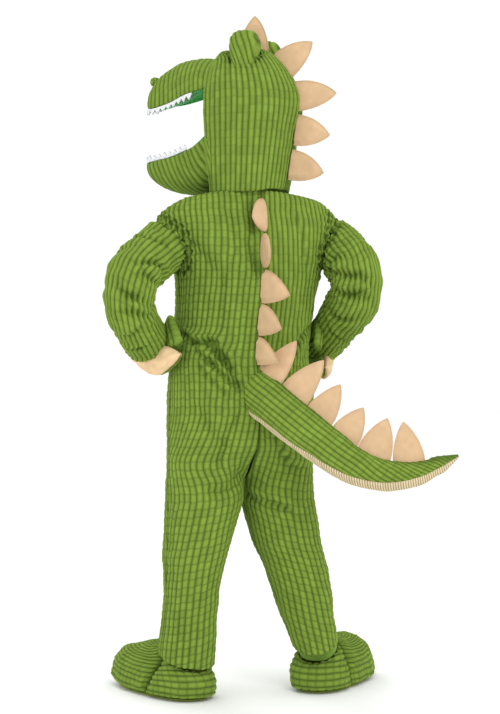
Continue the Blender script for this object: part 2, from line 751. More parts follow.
# ---------------------------------------------------------------- jumpsuit

# Size of a fine square of cloth, and the points across a surface before they are spaced evenly. A
# panel's width decides how many columns it has.
STEP_ACROSS, STEP_ALONG = 1.7, 2.2
DENSE = 300
PANEL_WIDTH, PANEL_DENSE = 205, 260
# The legs have this many ribs for one on the body.
LEG_CELLS = 0.84
# Ribs are counted from a line this far out from the centre seam, and rows from this height.
GRAIN_OUT, ROWS_FROM = 62, 600
body_at = read_table(BODY_FIELDS, BODY)
leg_at = {side: read_table(LEG_FIELDS, LEGS[side]) for side in SIDES}


def jumpsuit_point(side, face, height, share):
    """Share 0 is the inner edge (centre seam, then inseam) and 1 is the side seam."""
    sign = SIDES[side]
    body = body_at(height)
    angle = np.radians(share * 90 if face > 0 else 180 - share * 90)
    body_x, body_y = oval(angle, body["half_width"], body["half_depth"], BODY_SQUARENESS)
    dip = body["front_dip"] * ((1 - np.cos(angle)) / 2) ** 2
    on_body = points(body["x"] + sign * body_x, body["y"] + body_y, height - dip)
    leg = leg_at[side](height)
    leg_y, leg_x = oval(share * np.pi, leg["half_depth"], leg["half_width"], BODY_SQUARENESS)
    toe_out = math.radians(FEET[side]["toe_out"])
    to_toe = -sign * leg_x * math.sin(toe_out) - face * leg_y * math.cos(toe_out)
    front_share = np.clip(0.5 + to_toe / (2 * leg["half_depth"]), 0, 1)
    hem = LEGS[side][0][0]
    rise = 0.6 * HEM_FRONT_RISE * front_share * (1 - smooth_step((height - hem) / HEM_RISE_FADE))
    on_leg = points(leg["x"] - sign * leg_x, leg["y"] + face * leg_y, height + rise)
    leg_share = smooth_step((CROTCH_TOP - height) / (CROTCH_TOP - CROTCH_BOTTOM))[..., None]
    place = mix(on_body, on_leg, leg_share)
    place[..., 0] = sign * np.maximum(sign * place[..., 0], sign * body["x"])
    return place


def body_depth(place):
    """Below 1 inside the jumpsuit's body, 1 on its surface."""
    body = body_at(place[..., 2])
    x = np.abs(place[..., 0] - body["x"]) / body["half_width"]
    y = np.abs(place[..., 1] - body["y"]) / body["half_depth"]
    return (x ** BODY_SQUARENESS + y ** BODY_SQUARENESS) ** (1 / BODY_SQUARENESS)


class Tube:
    """A path of four corners, the inner two rounded, with directions across it that don't twist."""

    def __init__(self, corners, radii, count=240):
        corner = np.array(corners, float)
        line = [corner[0]]
        for i in range(1, len(corner) - 1):
            into, onward = unit(corner[i] - corner[i - 1]), unit(corner[i + 1] - corner[i])
            turn = math.acos(float(np.clip(np.dot(into, onward), -1, 1)))
            reach = radii[i - 1] * math.tan(turn / 2)
            begin = corner[i] - into * reach
            outward = unit(np.cross(into, unit(np.cross(into, onward))))
            centre = begin - outward * radii[i - 1]
            for share in np.linspace(0, 1, 40):
                angle = share * turn
                line.append(centre + radii[i - 1] * (outward * math.cos(angle) + into * math.sin(angle)))
        line.append(corner[-1])
        line = np.array(line)
        far = lengths(line, 0)
        self.length = far[-1]
        self.share = np.linspace(0, 1, count)
        self.centre = read_along(self.share * far[-1], far, line)
        self.tangent = unit(np.gradient(self.centre, axis=0))
        out_of_bend = unit(corner[2] - corner[1]) - unit(corner[3] - corner[2])
        normal, normals = out_of_bend, []
        for tangent in self.tangent:
            normal = unit(normal - tangent * np.dot(normal, tangent))
            normals.append(normal)
        self.normal = np.array(normals)
        self.across = np.cross(self.tangent, self.normal)

    def at(self, share, angle, in_plane, across):
        centre, normal, sideways = (read_along(share, self.share, values)
                                    for values in (self.centre, self.normal, self.across))
        return (centre + normal * (in_plane * np.cos(angle))[..., None]
                + sideways * (across * np.sin(angle))[..., None])


sleeve_at = read_table(SLEEVE_FIELDS, SLEEVE)
sleeve_tube = {side: Tube(SLEEVE_PATHS[side], [SHOULDER_BEND, ELBOW_RADIUS]) for side in SIDES}


# Every third step of a sleeve's path, as far as it can lie near the body.
NEAR_BODY = slice(0, 150, 3)


def sleeve_distance(side, place):
    """About how far points are outside the sleeve's surface, in millimetres."""
    tube = sleeve_tube[side]
    flat = place.reshape(-1, 3)
    pick = NEAR_BODY
    centre = tube.centre[pick]
    gap = ((flat[:, None] - centre[None]) ** 2).sum(-1)
    nearest = gap.argmin(1)
    away = flat - centre[nearest]
    size = sleeve_at(tube.share[pick][nearest])
    n = (away * tube.normal[pick][nearest]).sum(1) / size["in_plane"]
    a = (away * tube.across[pick][nearest]).sum(1) / size["across"]
    t = (away * tube.tangent[pick][nearest]).sum(1)
    ratio = np.sqrt(n * n + a * a)
    distance = (ratio - 1) * 0.5 * (size["in_plane"] + size["across"])
    distance = np.where(np.abs(t) > 12, np.maximum(distance, np.abs(t)), distance)
    return distance.reshape(place.shape[:-1])


# Creases of the jumpsuit's back (1) and front (-1): out from the centre seam and up from the floor
# at one end and at the other, then the depth and width of the trough.
BODY_CREASES = [
    ("left", 1, 140, 600, 112, 592, 3, 5),
    ("left", 1, 112, 592, 78, 584, 6, 6),
    ("left", 1, 78, 584, 58, 562, 8, 7),
    ("left", 1, 58, 562, 34, 522, 8, 8),
    ("left", 1, 104, 578, 74, 556, 4.5, 5),
    ("left", 1, 74, 556, 50, 522, 5.5, 6),
    ("left", 1, 92, 548, 60, 506, 3.5, 6),
    ("left", 1, 60, 700, 68, 610, 2.5, 11),
    ("left", 1, 112, 742, 76, 690, 3.0, 12),
    ("left", 1, 20, 806, 18, 770, 4.5, 10),
    ("left", 1, 24, 744, 16, 704, 4.5, 10),
    ("left", 1, 52, 790, 44, 744, 2.5, 9),
    ("left", 1, 96, 470, 60, 430, 3.0, 12),
    ("left", 1, 40, 470, 62, 400, 3.0, 10),
    ("left", 1, 30, 370, 110, 352, 3.0, 10),
    ("right", 1, 150, 700, 120, 640, 3.5, 10),
    ("right", 1, 120, 612, 80, 588, 3.5, 8),
    ("right", 1, 90, 600, 50, 560, 4.0, 9),
    ("right", 1, 70, 570, 34, 536, 4.5, 9),
    ("right", 1, 110, 540, 60, 500, 3.0, 10),
    ("right", 1, 60, 790, 80, 720, 2.0, 11),
    ("right", 1, 30, 430, 60, 395, 2.2, 10),
    ("right", 1, 44, 405, 92, 380, 2.4, 10),
    ("right", 1, 20, 340, 90, 316, 3.5, 9),
    ("left", -1, 40, 560, 110, 590, 4.0, 10),
    ("left", -1, 50, 500, 100, 470, 3.0, 12),
    ("left", -1, 120, 720, 80, 650, 3.0, 12),
    ("left", -1, 30, 380, 100, 356, 3.0, 11),
    ("right", -1, 40, 570, 110, 600, 4.0, 10),
    ("right", -1, 60, 520, 110, 480, 3.0, 12),
    ("right", -1, 110, 710, 70, 660, 3.0, 12),
    ("right", -1, 30, 400, 90, 370, 3.0, 11),
]
# How much the rows show: on the body and at the shoulders, then from the seat down and on the legs.
ROWS_SHOW = {"left": (0.50, 0.32), "right": (0.26, 0.16)}
SEAT_ROWS_SHOW, LEG_ROWS_SHOW = 0.50, 0.56
# The dark strip of cloth beside the spine's spikes, then the darker patches drawn in beside the two
# upper ones: height, out, half height and darkness.
SPINE_SHADE = {"dark": 0.42, "out": 5, "top": 742, "bottom": 545}
PULLED_BY_SPIKES = [(790, 15, 15, 0.34), (718, 16, 20, 0.40)]
# The height that the gathers at the armhole fan out from, how far they reach on the body and on the
# sleeve, and how far inside the sleeve the body's cloth ends.
ARMHOLE_HEIGHT, GATHER_REACH, ARMHOLE_OVERLAP = 750, 15, 9
# A hollow this deep pinches the cells together fully, but for the limit after it.
DEEP_HOLLOW, MOST_PINCHED = 7, 0.8
# The legs' ribs and rows start to differ this far above the crotch's top, and do so within a height.
LEG_START, LEG_FADE = 60, 140


def crease_depth(where, out, height):
    """How far the creases push the cloth in, with a soft ridge on each side of a trough, how dark
    their lines are, and how far the ribs slip sideways at them."""
    total, lines, slip = np.zeros((3, *np.shape(out)))
    for side, face, out1, height1, out2, height2, depth, width in BODY_CREASES:
        if (side, face) != where:
            continue
        run = np.array([out2 - out1, height2 - height1], float)
        span = math.hypot(*run)
        run /= span
        along = (out - out1) * run[0] + (height - height1) * run[1]
        aside = (height - height1) * run[0] - (out - out1) * run[1]
        aside = aside + 3 * np.sin(along / 17 + out1)
        fade = bell(np.maximum(0, np.maximum(-along, along - span)), 1.6 * width)
        trough = bell(aside, width)
        above = bell(np.abs(aside) - 1.6 * width, width) * np.where(aside * run[0] > 0, 0.9, 0.25)
        total += depth * fade * (trough - above)
        lines = np.maximum(lines, depth / 7 * fade * bell(aside, 0.42 * width))
        slip += 0.7 * depth * fade * np.tanh(aside / 4) * bell(aside, 3 * width)
    return total, lines, slip


def add_jumpsuit_panel(side, face):
    sign = SIDES[side]
    levels = np.linspace(LEGS[side][0][0], BODY[-1][0], 500)
    far = lengths(jumpsuit_point(side, face, levels, np.full(500, 0.7)), 0)
    rows, columns = blocks(far[-1], STEP_ALONG) + 1, blocks(PANEL_WIDTH, STEP_ACROSS) + 1
    height = np.interp(np.linspace(0, far[-1], rows), far, levels)[:, None]
    dense = jumpsuit_point(side, face, np.repeat(height, PANEL_DENSE, 1),
                           np.linspace(0, 1, PANEL_DENSE)[None])
    base = resample_rows(dense, columns)
    out = lengths(base, 1)
    level = np.repeat(height, columns, 1)
    normal, _ = surface_normals(base)
    trough, lines, slip = crease_depth((side, face), out, level)

    leg_share = smooth_step((CROTCH_TOP + LEG_START - height) / LEG_FADE)
    grain = mix(GRAIN_OUT, 0.5 * out[:, -1:], leg_share)
    u = sign * (out - grain) * mix(1, LEG_CELLS, leg_share) + slip
    v = lengths(base, 0)
    v = v - v[np.argmin(np.abs(height[:, 0] - ROWS_FROM))][None]

    # Creases, the cloth's own unevenness, and more of it on the legs.
    push = -trough
    push += 1.5 * noise(base, (38, 38, 95), 3) + 0.8 * noise(base, 24, 4)
    leg = smooth_step((CROTCH_BOTTOM - 10 - level) / 90)
    push += leg * (1.6 * noise(base, (60, 60, 26), 6) + 1.0 * noise(base, (26, 26, 60), 7))
    # At the crotch the two halves press together.
    closing = smooth_step((level - CROTCH_BOTTOM + 12) / 24) * smooth_step((CROTCH_TOP + 50 - level) / 40)
    closing = closing * bell(out, 10)
    push = mix(push, 4.5 * np.abs(normal[..., 0]), closing)
    # Round the armhole the cloth is gathered, with a groove and dark dots at the seam.
    away = sleeve_distance(side, base)
    near = bell(np.maximum(away, 0), GATHER_REACH)
    turn = np.arctan2(base[..., 2] - ARMHOLE_HEIGHT, base[..., 1])
    gathers = np.sin(turn * 24 + 2 * noise(base, 30, 8))
    push += near * (1.7 * gathers - 0.6)
    push -= 2.6 * bell(away - 1.0, 3.2)
    dots = bell(away - 7 - 1.5 * noise(base, 20, 9), 2.4) * smooth_step(0.5 - 0.9 * gathers)
    dots = np.maximum(dots, 0.6 * lines)
    base = base + normal * push[..., None]

    keep = sleeve_distance(side, base[BLOCK // 2::BLOCK, BLOCK // 2::BLOCK]) > -ARMHOLE_OVERLAP
    body_axis, leg_axis = (points(at(height)["x"], at(height)["y"], height)
                           for at in (body_at, leg_at[side]))
    rows_show = mix(*ROWS_SHOW[side], smooth_step((level - 700) / 110))
    rows_show = mix(rows_show, SEAT_ROWS_SHOW, smooth_step((600 - level) / 60))
    rows_show = mix(rows_show, LEG_ROWS_SHOW, leg)
    crushed = 0
    if (side, face) == ("left", 1):
        crushed = SPINE_SHADE["dark"] * bell(out, SPINE_SHADE["out"])
        crushed = crushed * smooth_step((SPINE_SHADE["top"] - level) / 20)
        crushed = crushed * smooth_step((level - SPINE_SHADE["bottom"]) / 20)
        for middle, reach, half_height, dark in PULLED_BY_SPIKES:
            patch = np.exp(-(((out - reach) / 11) ** 2) - ((level - middle) / half_height) ** 2)
            crushed = np.maximum(crushed, dark * patch)
    deep = np.clip(-push / DEEP_HOLLOW, 0, MOST_PINCHED)
    cloth(f"{'back' if face > 0 else 'front'}_{side}", base,
          partial(waffle, rows=rows_show, seed=11 + face), u, v,
          axis=mix(body_axis, leg_axis, leg_share[..., None]), edges=("seam", "seam", "hem", "hem"),
          keep=keep, pinch=np.maximum(near, deep), dots=dots, crushed=crushed)


PLACKET_WIDTH = 36


def add_placket():
    rows = blocks(PLACKET["top"] - PLACKET["bottom"], 2.4) + 1
    columns = blocks(PLACKET_WIDTH, 1.5) + 1
    height = np.linspace(PLACKET["bottom"], PLACKET["top"], rows)[:, None]
    body = body_at(height)
    lift = EXTRA_DEPTH + PLACKET["thickness"]
    angle = np.radians(180 + PLACKET["half_angle"] * np.linspace(-1, 1, columns)[None])
    x, y = oval(angle, body["half_width"] + lift, body["half_depth"] + lift, BODY_SQUARENESS)
    base = points(body["x"] + x, body["y"] + y, height)
    axis = points(body["x"], body["y"], height)
    base = base + unit(base - axis) * (0.8 * noise(base, (40, 40, 60), 14))[..., None]
    cloth("front_placket", base, partial(waffle, depth=2.0, seed=15), lengths(base, 1) - 4,
          thickness=PLACKET["thickness"], axis=axis, edges=("hem", "hem", "hem", "hem"))


# ---------------------------------------------------------------- sleeves

SLEEVE_COLUMNS = 144
# The sleeve has left the body by this share of its length, and ends short of its path's end.
SLEEVE_LEAVES_BY, CUFF_SHORTER = 0.45, 10
# Its folds stand out by no more than this share of its radius.
MOST_FOLD = 0.35
# The whole sleeve's shade, the dark side of the forearm that faces the body, and how much the rows
# show above and below the elbow.
SLEEVE_SHADE = {"left": 1.06, "right": 1.12}
FOREARM_SHADE = {"left": 0, "right": 0.34}
UPPER_ARM_ROWS, FOREARM_ROWS = {"left": 0.55, "right": 0.9}, 0.55
# The cloth bulges above the cuff, and on the left a dark fold shows there (turn and reach in degrees).
CUFF_BULK = {"rise": 8, "along": 0.90, "long": 0.10}
CUFF_SLIT = {"along": 0.85, "turn": 26, "reach": 19, "width": 2.4}
# The dark dots of a crease, one a rib.
BEADS = (0.35, 0.65)
# Troughs round the sleeves: place along, turn from the outside of the elbow in degrees, reach in
# degrees, slant in millimetres a radian, depth and width.
SLEEVE_CREASES = {
    "left": [
        (0.46, 340, 34, 18, 5.6, 5),
        (0.597, 0, 32, -14, 5.6, 5),
        (0.52, 330, 34, 8, 3.4, 6),
        (0.66, 350, 34, -14, 3.6, 6),
        (0.73, 20, 36, 8, 3.0, 6),
        (0.85, 25, 34, 0, 3.6, 4),
        (0.32, 20, 44, 12, 3.0, 7),
        (0.34, 90, 50, 14, 3.4, 7),
        (0.47, 120, 60, 10, 4.0, 7),
        (0.52, 180, 60, 0, 5.0, 8),
        (0.60, 190, 55, 6, 4.6, 7),
        (0.68, 140, 55, 12, 3.0, 7),
        (0.45, 240, 60, -8, 4.0, 8),
        (0.66, 260, 50, 10, 3.2, 7),
        (0.25, 200, 60, 6, 3.0, 8),
        (0.86, 140, 50, 8, 2.6, 6),
    ],
    "right": [
        (0.463, 352, 44, -12, 5.4, 5),
        (0.385, 46, 14, -70, 5.0, 5),
        (0.526, 352, 42, -3, 8.0, 5),
        (0.36, 20, 30, -20, 2.6, 5),
        (0.62, 352, 34, 10, 3.4, 6),
        (0.74, 340, 40, -12, 3.0, 6),
        (0.52, 180, 60, 0, 5.0, 8),
        (0.61, 170, 50, -6, 4.6, 7),
        (0.68, 220, 55, -12, 3.0, 7),
        (0.46, 120, 60, 8, 4.0, 8),
        (0.66, 100, 50, -10, 3.2, 7),
        (0.22, 170, 60, 6, 3.0, 8),
        (0.80, 240, 60, 8, 3.0, 7),
        (0.90, 200, 70, -6, 3.0, 6),
    ],
}


def wrapped(angle):
    return (angle + np.pi) % (2 * np.pi) - np.pi


def exit_share(make_place, shares, angle, buried=3.0):
    """The share along a tube, for each angle, at which it leaves the jumpsuit's body, less a bit
    that stays buried in it."""
    place = make_place(shares[:, None] + 0 * angle[None], 0 * shares[:, None] + angle[None])
    inside = (body_depth(place) < 1) & (place[..., 2] < BODY[-1][0] + 1)
    last = np.where(inside.any(0), len(shares) - 1 - inside[::-1].argmax(0), 0)
    share = shares[last]
    step = np.linalg.norm(place[-1] - place[0], axis=-1).mean() / (shares[-1] - shares[0])
    return np.maximum(share - buried / step, 0)


def crease_sleeve(side, turn, share, push):
    """Presses the sleeve's creases into push. Gives how much each gathers the cells, how dark their
    lines are and how far the ribs slip at them."""
    gather, lines, slip = np.zeros((3, *push.shape))
    for along, centre, reach, slant, depth, width in SLEEVE_CREASES[side]:
        off = wrapped(turn - math.radians(centre))
        fade = bell(off, math.radians(reach))
        line = (share - along) * sleeve_tube[side].length - slant * off - 2.5 * np.sin(off * 4 + centre)
        trough = bell(line, width)
        ridge = bell(np.abs(line) - 1.6 * width, width) * np.where(line < 0, 0.85, 0.3)
        push -= depth * fade * (trough - ridge)
        gather = np.maximum(gather, np.minimum(1, depth / 4) * fade * bell(line, 0.7 * width))
        lines = np.maximum(lines, np.minimum(1, depth / 4.5) * fade * bell(line, 2.6))
        slip += 0.25 * min(depth, 6) * fade * np.tanh(line / 3) * bell(line, 3 * width)
    return gather, lines, slip


def add_sleeve(side):
    tube = sleeve_tube[side]
    angle = np.linspace(-np.pi, np.pi, SLEEVE_COLUMNS + 1)

    def place_at(share, turn):
        size = sleeve_at(share)
        return tube.at(share, turn, size["in_plane"], size["across"])

    start = exit_share(place_at, np.linspace(0, SLEEVE_LEAVES_BY, 160), angle[:-1])
    for _ in range(3):
        start = 0.5 * start + 0.25 * (np.roll(start, 1) + np.roll(start, -1))
    start = np.append(start, start[0])
    rows = blocks(tube.length * (1 - start.min()), STEP_ALONG) + 1
    end = 1 - CUFF_SHORTER / tube.length
    share = start[None] + (end - start[None]) * np.linspace(0, 1, rows)[:, None]
    turn = np.broadcast_to(angle[None], share.shape)
    base = place_at(share, turn)
    ring = lengths(base, 1)[:, -1].mean()
    u = turn / (2 * np.pi) * round(ring / CELL[0]) * CELL[0] + 0 * share
    column = lengths(base, 0) + (start * tube.length)[None]
    v = mix(share * tube.length, column, 0.4)

    normal, _ = surface_normals(base)
    push = 2.4 * noise(base, 30, 21) + 1.9 * noise(base, 15, 22)
    gather, lines, slip = crease_sleeve(side, turn, share, push)
    # Round the armhole the sleeve is gathered, with a groove and dark dots at the seam.
    from_armhole = column - column[:1]
    near = bell(from_armhole, GATHER_REACH)
    push += near * (2.4 * np.sin(turn * 15 + 2 * noise(base, 25, 24)) - 1.0)
    push += 2.0 * bell(from_armhole - 20, 12)
    push -= 2.0 * bell(from_armhole - 9, 3.5)
    dots = bell(from_armhole - 8 - 1.5 * noise(base, 20, 26), 2.6)
    dots = dots * smooth_step(0.5 + 0.9 * np.sin(turn * 19 + 2 * noise(base, 25, 27)))
    if side == "left":
        slit_off = wrapped(turn - math.radians(CUFF_SLIT["turn"]))
        slit = bell(slit_off, math.radians(CUFF_SLIT["reach"]), power=4)
        slit = slit * bell((share - CUFF_SLIT["along"]) * tube.length, CUFF_SLIT["width"])
        dots = np.maximum(dots, slit)
    dots = np.maximum(dots, lines * (BEADS[0] + BEADS[1] * np.cos(np.pi * u / CELL[0]) ** 2))
    u = u + slip
    # The inside of the bend: bulk above the cuff, a shade, and folds below the elbow.
    inner = bell(wrapped(turn - np.pi), 0.95)
    push += CUFF_BULK["rise"] * inner * bell(share - CUFF_BULK["along"], CUFF_BULK["long"])
    towards_body = smooth_step((wrapped(turn) - 0.2) / 0.9) * smooth_step((share - 0.51) / 0.03)
    crushed = np.maximum(0.30 * inner * smooth_step((share - 0.46) / 0.1),
                         FOREARM_SHADE[side] * towards_body)
    outer_side = smooth_step((np.cos(turn) - 0.2) / 0.6)
    forearm = smooth_step((share - 0.5) / 0.05)
    rows_show = 0.26 + 0.4 * noise(base, 45, 33) + 0.3 * outer_side
    rows_show = np.clip(rows_show * mix(UPPER_ARM_ROWS[side], FOREARM_ROWS, forearm), 0.08, 0.75)
    push -= 1.6 * bell(column[-1:] - column - 9, 3.0)
    bulk = bell(wrapped(turn - np.pi), 1.1) * bell(share - 0.56, 0.16)
    push += bulk * 2.2 * np.sin(share * tube.length / 15 * 2 * np.pi + 2 * noise(base, 40, 25))
    radius = ring / (2 * np.pi)
    base = base + normal * np.minimum(push, MOST_FOLD * radius)[..., None]
    weave = partial(waffle, depth=2.8, rows=rows_show, seed=31, shade=SLEEVE_SHADE[side])
    cloth(f"sleeve_{side}", base, weave, u, v, edges=("seam", "seam", "seam", "hem"),
          pinch=np.maximum(np.maximum(near, 0.6 * bulk), gather), dots=dots, crushed=crushed)


# ---------------------------------------------------------------- mitts

# Where a mitt starts, back inside the cuff, and how many millimetres one of "along" is there.
MITT_FROM, MITT_REACH = -0.22, 75
# The right hand lies on the hip, so its mitt is held out of the body.
OUT_OF_HIP, OUT_OF_HIP_BY = np.array([-0.95, 0.30, 0.0]), 7


def pouch_point(table, side, along, angle):
    """Along is 0 at the wrist and 1 at the tip; below 0 the pouch runs on into the cuff."""
    at, sign = read_table(MITT_FIELDS, table), SIDES[side]
    into_cuff = np.minimum(along, 0)[..., None] * MITT_REACH * sleeve_tube[side].tangent[-1]

    def centre(value):
        entry = at(np.clip(value, 0, 1))
        return points(entry["x"], entry["y"], entry["height"])

    entry = at(along)
    forward = np.maximum(along, 0)
    ahead = unit(centre(forward + LOOK_AHEAD) - centre(forward - LOOK_AHEAD))
    level = unit(np.cross([0, 0, 1], ahead)) * -sign
    upward = unit(np.cross(level, ahead))
    upward = upward * np.where(upward[..., 2:] < 0, -1, 1)
    into_end = np.maximum(0, (along - MITT_ROUNDING_FROM) / (1 - MITT_ROUNDING_FROM))
    rounding = np.sqrt(np.maximum(0.1, 1 - into_end ** 2))
    return (centre(along) + into_cuff
            + upward * (entry["half_height"] * rounding * np.cos(angle))[..., None]
            + level * (entry["half_thickness"] * rounding * np.sin(angle))[..., None])


def add_mitt(side):
    rows, columns = blocks(95, 2.0) + 1, blocks(95, STEP_ACROSS) + 1
    for name, first, weave, slot in (("mitt_palm", 0, smooth_cloth, "palm_tan"),
                                     ("mitt_back", 180, waffle, "plush_green")):
        along = np.linspace(MITT_FROM, 1, rows)[:, None] + np.zeros((1, columns))
        angle = np.radians(first + np.linspace(1.5, 178.5, columns))[None] + 0 * along
        base = pouch_point(MITTS[side], side, along, angle)
        top, bottom = (pouch_point(MITTS[side], side, along[:, :1], 0 * along[:, :1] + turn)
                       for turn in (0, np.pi))
        axis = top - (top - bottom) / 2
        push = 1.0 * noise(base, 22, 41) + 0.6 * noise(base, 11, 42) + 1.6 * bell(along, 0.25)
        base = base + unit(base - axis) * push[..., None]
        if side == "right":
            base = base + OUT_OF_HIP * (OUT_OF_HIP_BY * smooth_step(along / 0.4))[..., None]
        cloth(f"{name}_{side}", base, weave, slot=slot, axis=axis, edges=("seam", "seam", "hem", "hem"))
    rows, columns = 40, 40
    along = np.linspace(0, 1, rows)[:, None] + np.zeros((1, columns))
    angle = full_turn(columns) + 0 * along
    base = pouch_point(THUMBS[side], side, along, angle)
    base = base + unit(base - base.mean(1, keepdims=True)) * (1.5 * noise(base, 11, 43))[..., None]
    stuffed(f"mitt_thumb_{side}", base, partial(waffle, cell=(8.67, 11), depth=1.8, seed=44),
            14 * np.cos(angle))


# ---------------------------------------------------------------- tail

tail_at = read_table(TAIL_FIELDS, TAIL)


def tail_station(along):
    def centre(value):
        entry = tail_at(np.clip(value, 0, 1))
        return points(entry["x"], entry["y"], entry["height"])

    entry = tail_at(along)
    tangent = unit(centre(along + LOOK_AHEAD) - centre(along - LOOK_AHEAD))
    side = unit(np.cross(tangent, [0, 0, 1]))
    top = unit(np.cross(side, tangent))
    roll = np.radians(entry["roll"])[..., None]
    return {"centre": centre(along), "tangent": tangent,
            "top": top * np.cos(roll) - side * np.sin(roll),
            "side": side * np.cos(roll) + top * np.sin(roll),
            "half_width": entry["half_width"], "half_height": entry["half_height"]}


def tail_point(along, angle, scale=1, lift=0):
    st = tail_station(along)
    return (st["centre"] + st["top"] * ((st["half_height"] * scale + lift) * np.cos(angle))[..., None]
            + st["side"] * ((st["half_width"] * scale + lift) * np.sin(angle))[..., None])


# Places along the tail, and how many degrees round from its top the underside starts at each.
TAIL_SEAM = {"along": (0, 0.30, 0.50, 0.65, 0.80, 1), "degrees": (148, 146, 138, 123, 107, 98)}
# The sides' rows are counted along the straight line between two places on the top, and the ribs
# slant beyond it.
TAIL_GRAIN = {"from": 0.10, "to": 0.45, "slant": 1.1}
# The sides darken towards the seam on the top, beneath the spikes.
TAIL_TOP_SHADE, TAIL_TOP_REACH = 0.72, 15
# The tail has left the body by this share of its length.
TAIL_LEAVES_BY = 0.25


def add_tail():
    dense = tail_at(np.linspace(0, 1, 300))
    far = np.linalg.norm(np.diff(points(dense["x"], dense["y"], dense["height"]), axis=0), axis=1)
    length = far.sum()
    rows = blocks(length, STEP_ALONG) + 1
    for name, first, last in (("tail_side_left", 0, 1), ("tail_side_right", -1, 0),
                              ("tail_underside", -1, 1)):
        is_under = name == "tail_underside"
        round_share = np.linspace(first, last, 44 if is_under else 48)

        def angle_at(share, round_share):
            seam = np.radians(np.interp(share, TAIL_SEAM["along"], TAIL_SEAM["degrees"]))
            return np.pi + round_share * (np.pi - seam) if is_under else round_share * seam

        def place_at(share, round_share):
            return tail_point(share, angle_at(share, round_share))

        start = exit_share(place_at, np.linspace(0, TAIL_LEAVES_BY, 120), round_share, buried=2.0)
        share = start[None] + (1 - start[None]) * np.linspace(0, 1, rows)[:, None]
        arc = place_at(share, round_share[None] + 0 * share)
        across, along = lengths(arc, 1), lengths(arc, 0) + (start * length)[None]
        edge = np.minimum(across, across[:, -1:] - across)
        push = 1.2 * noise(arc, 34, 51) + 0.8 * noise(arc, 17, 52)
        push += 3.0 * smooth_step((share - 0.88) / 0.06)
        drop = 1.8 * bell(edge, 2.6) + 2.0 * bell(along - along[:1], 4)
        outward = unit(arc - tail_station(share)["centre"])
        fade = np.clip(along[-1:] - along, 0, 40) / 40
        arc = arc + outward * (push * fade - drop * (0.3 + 0.7 * fade))[..., None]
        middle = np.pi if is_under else math.radians(0.5 * (first + last) * UNDERSIDE_FROM)
        core = tail_point(share.mean(1), np.full(rows, middle), scale=0.02)
        reach = {"tail_side_left": across, "tail_side_right": across[:, -1:] - across,
                 "tail_underside": across - 0.5 * across[:, -1:]}[name]
        from_top = np.concatenate([reach, reach[:, -1:]], 1)
        weave = cross_ribs
        if not is_under:
            first_end, last_end = (tail_point(np.array(TAIL_GRAIN[key]), np.array(0.0))
                                   for key in ("from", "to"))
            grain = unit(last_end - first_end)
            top = tail_station(np.array(TAIL_GRAIN["to"]))["top"]
            rise = np.dot(tail_point(share, 0 * share) - last_end, unit(top - grain * np.dot(top, grain)))
            beyond = smooth_step((share - TAIL_GRAIN["to"]) / 0.15)
            reach = reach - TAIL_GRAIN["slant"] * rise * beyond
            along = np.dot(arc - last_end, grain)
            weave = partial(waffle, rows=0.4, seed=53,
                            shade=1 - TAIL_TOP_SHADE * bell(from_top, TAIL_TOP_REACH, power=4))
        u, v = (np.concatenate([x, x[:, -1:]], 1) for x in (reach, along))
        relief = np.concatenate([0.35 + 0.65 * smooth_step(edge / 5), np.zeros((rows, 1))], 1)
        stuffed(name, np.concatenate([arc, core[:, None]], 1), weave, u, v,
                "rib_cream" if is_under else "plush_green", relief=relief)


# ---------------------------------------------------------------- spikes

SPIKE_TIP_POWER, SPIKE_BOW = 0.8, 0.16
SPIKE_GRID = (44, 56)
# The stitch line: how far inside the edge, its width and how deep it draws in. Spikes thicker than
# the last number are filled round.
STITCH, STITCH_WIDTH, STITCH_DEPTH = 2.8, 0.9, 0.45
PLUMP_FROM = 9.5


def add_spike(name, low, high, tip, bend, roundness=SPIKE_ROUNDNESS, sunk=3.0, puff=SPIKE_THICKNESS):
    """A soft felt leaf from the ends of its base to its tip, stitched round inside its edge."""
    low, high, tip = (np.asarray(p, float) for p in (low, high, tip))
    middle, run, reach = (low + high) / 2, high - low, tip - (low + high) / 2
    half_base = np.linalg.norm(run) / 2
    run = unit(run)
    sideways = unit(np.cross(run, reach))
    tall = np.linalg.norm(reach)
    share = np.linspace(-sunk / tall, 1, SPIKE_GRID[0])[:, None]
    risen = np.clip(share, 0, 1)
    half = np.maximum(1.2, half_base * (1 - risen ** roundness) ** SPIKE_TIP_POWER)
    lean = np.clip(np.dot(reach, run) / half_base, -1.4, 1.4)
    bow = -SPIKE_BOW * lean * half_base * 4 * risen * (1 - risen)
    turn = full_turn(SPIKE_GRID[1])
    swing = np.cos(turn)
    edge = np.minimum(half * (1 - np.abs(swing)), 0.8 * (1 - risen) * tall + 0 * swing)
    full = mix(puff / 2, 1.1, risen ** 2)
    thick = 0.7 + (full - 0.7) * smooth_step((edge - 2.2) / 9)
    thick = thick - STITCH_DEPTH * bell(edge - STITCH, STITCH_WIDTH)
    if puff > PLUMP_FROM:
        thick = full * np.abs(np.sin(turn)) ** 0.8 * np.sqrt(np.clip(half / half_base, 0, 1))
        thick = np.maximum(0.7, thick)
    thick = thick * np.sign(np.where(np.abs(np.sin(turn)) < 1e-6, 0, np.sin(turn)))
    curl = bend * risen ** 2
    base = (middle + reach * share[..., None] + run * (bow + half * swing)[..., None]
            + sideways * (thick + curl)[..., None])
    base = base + sideways * (0.6 * noise(base, 14, 61) * smooth_step(edge / 6))[..., None]
    stitched = 0.66 + 0.26 * smooth_step(edge / 4) - 0.12 * bell(edge - STITCH, STITCH_WIDTH)
    shade = np.clip(stitched + 0.08 * noise(base, 6, 62), 0, 1)

    def felt(u, v):
        return plain(0.12 * noise(base, 3, 63), shade, 0.5 + 0.5 * noise(base, 9, 64))

    stuffed(name, base, felt, slot="felt_tan")


